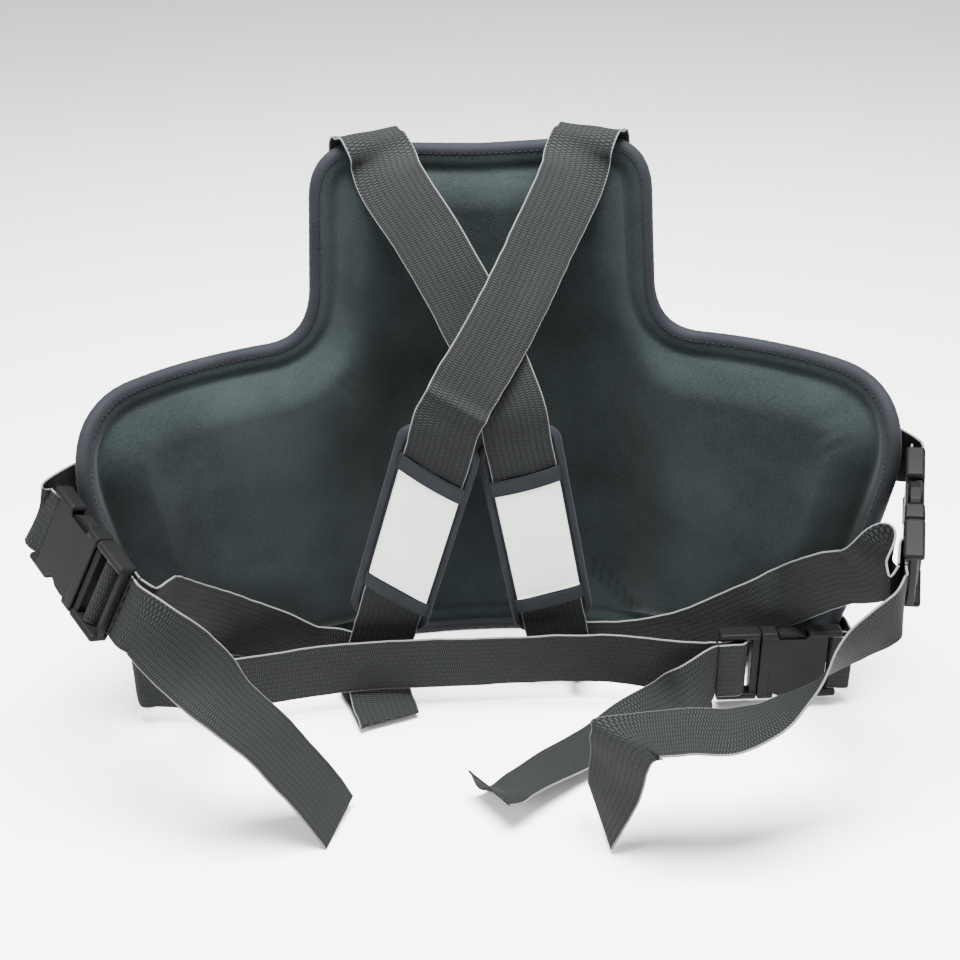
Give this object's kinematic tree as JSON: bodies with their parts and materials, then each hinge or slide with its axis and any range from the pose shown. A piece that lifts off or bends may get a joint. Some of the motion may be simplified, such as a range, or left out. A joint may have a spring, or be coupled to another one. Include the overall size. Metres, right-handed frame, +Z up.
{
  "type": "chest protector",
  "caption": "Wrap-round padded chest and belly protector with crossed webbing shoulder straps, sliding shoulder pads, a waist strap and side-release buckles.",
  "frame": {"origin": "middle of the flat underside of the shell's lower edge, on which the protector stands", "axes": "+Z up the body, -Y towards the wearer, +X to the right when seen from the wearer's side"},
  "size_m": [0.6567, 0.3521, 0.4434],
  "materials": {
    "lining": "brushed knit",
    "cover": "satin grain",
    "foam": "open foam",
    "binding": "matt",
    "webbing": "ribbed weave",
    "neoprene": "matt",
    "panel": "smooth",
    "buckle": "satin moulded"
  },
  "bodies": {
    "shell": {"lining": "lining", "front_foam": "foam", "outer_cover": "cover", "wing_pad_right": "foam", "chest_pad": "foam", "wing_pad_left": "foam", "edge_binding": "binding", "shoulder_strap_to_right": "webbing", "shoulder_strap_to_left": "webbing", "right_strap_lower": "webbing", "left_strap_lower": "webbing", "right_strap_tail": "webbing", "left_strap_tail": "webbing", "waist_strap_tail": "webbing", "waist_strap": "webbing", "left_buckle_loop": "webbing", "right_buckle_loop": "webbing", "waist_buckle_loop": "webbing", "left_buckle_female": "buckle", "right_buckle_female": "buckle", "waist_buckle_female": "buckle"},
    "left_male_half": {"left_buckle_male": "buckle", "left_strap_bar_turn": "webbing"},
    "left_prong_upper": {"left_buckle_prong_upper": "buckle"},
    "left_prong_lower": {"left_buckle_prong_lower": "buckle"},
    "right_male_half": {"right_buckle_male": "buckle", "right_strap_bar_turn": "webbing"},
    "right_prong_upper": {"right_buckle_prong_upper": "buckle"},
    "right_prong_lower": {"right_buckle_prong_lower": "buckle"},
    "waist_male_half": {"waist_buckle_male": "buckle", "waist_strap_bar_turn": "webbing"},
    "waist_prong_upper": {"waist_buckle_prong_upper": "buckle"},
    "waist_prong_lower": {"waist_buckle_prong_lower": "buckle"},
    "left_shoulder_pad": {"left_shoulder_pad": "neoprene", "left_shoulder_pad_binding": "binding", "left_shoulder_pad_sleeve": "neoprene", "left_shoulder_pad_panel": "panel", "left_shoulder_pad_hem_upper": "binding", "left_shoulder_pad_hem_lower": "binding"},
    "right_shoulder_pad": {"right_shoulder_pad": "neoprene", "right_shoulder_pad_binding": "binding", "right_shoulder_pad_sleeve": "neoprene", "right_shoulder_pad_panel": "panel", "right_shoulder_pad_hem_upper": "binding", "right_shoulder_pad_hem_lower": "binding"}
  },
  "joints": [
    {"name": "left_buckle_release", "type": "slide", "parent": "shell", "child": "left_male_half", "axis": [0.5779, -0.7742, -0.2584], "range_m": [0, 0.045], "deforming": ["left_strap_lower", "left_strap_tail", "left_buckle_prong_upper", "left_buckle_prong_lower"]},
    {"name": "left_prong_upper_press", "type": "hinge", "parent": "left_male_half", "child": "left_prong_upper", "pos_m": [-0.2724, -0.20741, 0.20935], "axis": [-0.68, -0.6318, 0.3722], "range_deg": [0, 12], "stiffness_Nm_per_rad": 0.15},
    {"name": "left_prong_lower_press", "type": "hinge", "parent": "left_male_half", "child": "left_prong_lower", "pos_m": [-0.28594, -0.20859, 0.18261], "axis": [0.68, 0.6318, -0.3722], "range_deg": [0, 12], "stiffness_Nm_per_rad": 0.15},
    {"name": "right_buckle_release", "type": "slide", "parent": "shell", "child": "right_male_half", "axis": [-0.2472, -0.8768, -0.4124], "range_m": [0, 0.045], "deforming": ["right_strap_lower", "right_strap_tail", "right_buckle_prong_upper", "right_buckle_prong_lower"]},
    {"name": "right_prong_upper_press", "type": "hinge", "parent": "right_male_half", "child": "right_prong_upper", "pos_m": [0.29079, -0.20196, 0.20505], "axis": [-0.9498, 0.3036, -0.0761], "range_deg": [0, 12], "stiffness_Nm_per_rad": 0.15},
    {"name": "right_prong_lower_press", "type": "hinge", "parent": "right_male_half", "child": "right_prong_lower", "pos_m": [0.29655, -0.19077, 0.17782], "axis": [0.9498, -0.3036, 0.0761], "range_deg": [0, 12], "stiffness_Nm_per_rad": 0.15},
    {"name": "waist_buckle_release", "type": "slide", "parent": "shell", "child": "waist_male_half", "axis": [-1, 0, 0], "range_m": [0, 0.045], "deforming": ["waist_strap", "waist_strap_tail", "waist_buckle_prong_upper", "waist_buckle_prong_lower"]},
    {"name": "waist_prong_upper_press", "type": "hinge", "parent": "waist_male_half", "child": "waist_prong_upper", "pos_m": [0.213, -0.127, 0.057], "axis": [0, 1, 0], "range_deg": [0, 12], "stiffness_Nm_per_rad": 0.15},
    {"name": "waist_prong_lower_press", "type": "hinge", "parent": "waist_male_half", "child": "waist_prong_lower", "pos_m": [0.213, -0.127, 0.027], "axis": [0, -1, 0], "range_deg": [0, 12], "stiffness_Nm_per_rad": 0.15},
    {"name": "left_pad_slide", "type": "slide", "parent": "shell", "child": "left_shoulder_pad", "axis": [-0.275, 0.1037, -0.9558], "range_m": [-0.012, 0.012]},
    {"name": "right_pad_slide", "type": "slide", "parent": "shell", "child": "right_shoulder_pad", "axis": [0.1761, 0.0649, -0.9822], "range_m": [-0.012, 0.012]}
  ]
}
